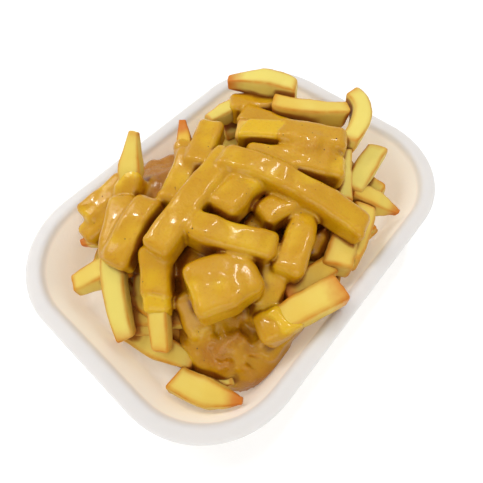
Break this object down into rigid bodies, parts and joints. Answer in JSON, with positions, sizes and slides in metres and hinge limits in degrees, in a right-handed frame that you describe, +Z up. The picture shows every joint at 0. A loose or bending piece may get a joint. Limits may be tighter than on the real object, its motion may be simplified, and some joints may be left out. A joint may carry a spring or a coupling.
{
  "type": "french fries portion",
  "caption": "Heap of thick-cut chips under curry-style sauce in a shallow white foam take-away tray with a flat lip and rounded corners.",
  "frame": {"origin": "middle of the tray's underside, on the surface that it stands on", "axes": "+X along the tray's long side, +Y across it, +Z up"},
  "size_m": [0.178, 0.13, 0.0552],
  "materials": {
    "foam": "matt white foam with a faint pearly skin",
    "chips": "soft fried potato, pale gold with browned ends",
    "sauce": "wet glossy thick sauce"
  },
  "bodies": {
    "root": {"tray": "foam", "fries": "chips", "sauce": "sauce"}
  },
  "joints": []
}
